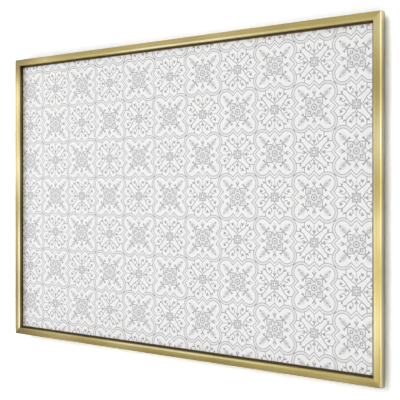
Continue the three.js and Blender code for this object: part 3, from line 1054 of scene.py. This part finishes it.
def bumpers():
    """Four rubber bumpers, glued on by their wide ends."""
    height = WALL_GAP - SEAT_GAP
    narrow = BUMPER_RADIUS - BUMPER_TAPER
    profile = [(0, 0), (BUMPER_RADIUS - BUMPER_EDGE, 0), (BUMPER_RADIUS, BUMPER_EDGE)]
    profile += arc(narrow - BUMPER_ROUND, height - BUMPER_ROUND, BUMPER_ROUND, 0, 90, BUMPER_STEPS)
    profile += [(0, height)]
    points, faces = lathe(profile, BUMPER_SIDES)
    shapes, nodes = [], []
    for row, up in (("top", 1), ("bottom", -1)):
        for column, sign in (("left", -1), ("right", 1)):
            x, z = sign * (BOARD_WIDTH / 2 - BUMPER_INSET), up * (BOARD_HEIGHT / 2 - BUMPER_ACROSS)
            placed = [(px + x, py + FRAME_BACK + SEAT_GAP, pz + z) for px, py, pz in points]
            shapes.append((placed, faces))
            nodes.append(f"wall_bumper_{row}_{column}")
    obj = new_piece("rubber_bumpers", *join_shapes(shapes))
    smooth(obj, degrees=40)
    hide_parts(*nodes)
    paint(obj, RUBBER)


bumpers()


# CAD parts that keep their shape

KEPT = {
    "corner_key_": CAST,
    "hanger_strap_": ZINC,
    "print_film": FILM,
    "steel_sheet": SHEET,
    "backing_board": BOARD,
}
for node_name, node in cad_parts.items():
    for start, material in KEPT.items():
        if node_name.startswith(start):
            paint(node, material)


# Wall, floor and background

WALL_Y = 0.0002
FLOOR_Z, WALL_TOP, STAGE_REACH = -1.25, 3, 4

# The lift of the wall's seen colour: below the board against right of it, and far from the board
BELOW_SHARE, FAR_LIFT = 0.6, 1.3
FAR_ACROSS, FAR_UPRIGHT = (0.5, 1.4), (0.4, 1.2)
LIFT_EDGE = 0.01


def stage_plane(name, near, far):
    """A rectangle between two opposite corners, level from left to right."""
    corners = [near, (far[0], *near[1:]), far, (near[0], *far[1:])]
    mesh = bpy.data.meshes.new(name)
    mesh.from_pydata(corners, [], [(0, 1, 2, 3)])
    obj = add_object(name, mesh)
    return obj


def stage_material(name, color, seen_color, board_half=None, lift=0.0):
    """A matt surface seen from its front only, and open to light where the board covers it.

    The seen colour is lifted right of the board and below it, where its widest soft shadows fall, and
    far from it, where the lamps are weaker."""
    material = bpy.data.materials.new(name)
    material.use_nodes = True
    tree = material.node_tree
    tree.nodes.clear()
    new, link = tree.nodes.new, tree.links.new
    path, geometry = new("ShaderNodeLightPath"), new("ShaderNodeNewGeometry")
    camera_ray = Num(tree, path.outputs["Is Camera Ray"])
    opening = Num(tree, geometry.outputs["Backfacing"]) * camera_ray
    extra = camera_ray * (seen_color - color)
    if board_half:
        half_width, half_height = board_half
        place = new("ShaderNodeSeparateXYZ")
        link(geometry.outputs["Position"], place.inputs[0])
        x, z = Num(tree, place.outputs[0]), Num(tree, place.outputs[2])
        right = x.rise(half_width - LIFT_EDGE, half_width)
        below = (z * -1.0).rise(half_height - LIFT_EDGE, half_height)
        far = x.abs().rise(*FAR_ACROSS).most(z.abs().rise(*FAR_UPRIGHT))
        extra = extra + camera_ray * (right.most(below * BELOW_SHARE) * lift + far * FAR_LIFT)
        covered = x.abs().math("LESS_THAN", half_width) * z.abs().math("LESS_THAN", half_height)
        opening = opening.most(covered * camera_ray.rest())
    diffuse, clear = new("ShaderNodeBsdfDiffuse"), new("ShaderNodeBsdfTransparent")
    mix, surface = new("ShaderNodeMixShader"), new("ShaderNodeOutputMaterial")
    link((extra + color).socket, diffuse.inputs["Color"])
    link(opening.socket, mix.inputs[0])
    link(diffuse.outputs[0], mix.inputs[1])
    link(clear.outputs[0], mix.inputs[2])
    link(mix.outputs[0], surface.inputs["Surface"])
    return material


wall = stage_plane("wall", (-STAGE_REACH, WALL_Y, FLOOR_Z), (STAGE_REACH, WALL_Y, WALL_TOP))
half_size = (BOARD_WIDTH / 2 * MM, BOARD_HEIGHT / 2 * MM)
paint(wall, stage_material("wall_paint", color=0.93, seen_color=1.25, board_half=half_size, lift=0.57))
floor = stage_plane("floor", (-STAGE_REACH, -STAGE_REACH, FLOOR_Z), (STAGE_REACH, 0, FLOOR_Z))
paint(floor, stage_material("floor_paint", color=0.9, seen_color=1.5))


def set_world(ambient):
    """A white background, with this level as the light that reaches the object from it."""
    world = bpy.data.worlds.new("studio")
    bpy.context.scene.world = world
    world.use_nodes = True
    tree = world.node_tree
    background = tree.nodes["Background"]
    background.inputs["Color"].default_value = (1, 1, 1, 1)
    path = tree.nodes.new("ShaderNodeLightPath")
    direct = Num(tree, path.outputs["Diffuse Depth"]).math("LESS_THAN", 0.5)
    seen = Num(tree, path.outputs["Is Camera Ray"])
    for kind in ("Is Glossy Ray", "Is Transmission Ray"):
        seen = seen.most(Num(tree, path.outputs[kind]) * direct)
    tree.links.new((seen * (1 - ambient) + ambient).socket, background.inputs["Strength"])


set_world(ambient=0.09)


# Lamps

SUN_DISTANCE = 2


def add_lamp(name, kind, location, target):
    """A lamp that shines from its location towards its target."""
    lamp = add_object(name, bpy.data.lights.new(name, kind))
    lamp.location = location
    lamp.rotation_euler = (Vector(target) - lamp.location).to_track_quat("-Z", "Y").to_euler()
    return lamp


def sun(name, azimuth, elevation, level, degrees):
    """A far soft lamp that gives a white surface square to the wall this level."""
    side, up = math.radians(azimuth), math.radians(elevation)
    direction = Vector((math.sin(side) * math.cos(up), -math.cos(side) * math.cos(up), math.sin(up)))
    lamp = add_lamp(name, "SUN", direction * SUN_DISTANCE, (0, 0, 0))
    lamp.data.energy = level * math.pi / abs(direction.y)
    lamp.data.angle = math.radians(degrees)
    lamp.visible_glossy = False


def soft_box(name, location, target, size, brightness, mirrored=True):
    """A rectangular lamp whose own face has this brightness.

    It shows in metal if mirrored, or else it lights matt surfaces."""
    lamp = add_lamp(name, "AREA", location, target)
    lamp.data.shape = "RECTANGLE"
    lamp.data.size, lamp.data.size_y = size
    lamp.data.energy = brightness * math.pi * size[0] * size[1]
    lamp.visible_diffuse = not mirrored
    lamp.visible_glossy = mirrored


def spot(name, location, target, level, degrees, radius):
    """A soft-edged spot that gives a white surface square to it at its target this level."""
    lamp = add_lamp(name, "SPOT", location, target)
    lamp.data.energy = level * 4 * math.pi ** 2 * (Vector(target) - Vector(location)).length_squared
    lamp.data.spot_size = math.radians(degrees)
    lamp.data.spot_blend = 1.0
    lamp.data.shadow_soft_size = radius
    lamp.visible_glossy = False


sun("upper", azimuth=-56, elevation=34, level=0.19, degrees=30)
sun("top", azimuth=-22, elevation=56, level=0.1, degrees=26)
sun("low", azimuth=-45, elevation=-42, level=0.05, degrees=26)
sun("fill", azimuth=32, elevation=8, level=0.065, degrees=40)
sun("back", azimuth=-150, elevation=28, level=0.5, degrees=45)
spot("right_key", (-0.15, -1.2, 0.22), (0.6, 0, 0), level=0.205, degrees=98, radius=0.32)
soft_box("side_strip", (-1.6, -0.5, 0.15), (0.1, 0, 0), (0.6, 1.2), brightness=7.6, mirrored=False)
soft_box("front_box", (1.5, -2.0, 0.1), (0.1, 0, 0), (1.5, 2.2), brightness=1.65)
soft_box("right_box", (1.9, -1.0, 0.1), (0.35, 0, 0), (0.8, 2.0), brightness=2.6)
soft_box("left_box", (-1.65, -1.2, 0.28), (-0.3, 0, 0.1), (0.3, 0.25), brightness=5.4)
soft_box("low_box", (-0.25, -1.5, -0.36), (0.3, 0, -0.1), (0.3, 0.2), brightness=7.5)


# Camera, at the photograph's angle

CAMERA_PLACE = (0.75111, -1.00469, 0.0122)
CAMERA_AZIMUTH = 34.956

camera = add_object("camera", bpy.data.cameras.new("camera"))
camera.data.sensor_fit = "HORIZONTAL"
camera.data.sensor_width = 36
camera.data.lens = 70.85
camera.data.shift_y = -0.02462
camera.data.clip_start = 0.01
camera.location = CAMERA_PLACE
camera.rotation_euler = (math.radians(90), 0, math.radians(CAMERA_AZIMUTH))
bpy.context.scene.camera = camera
bpy.context.scene.view_settings.view_transform = "Standard"
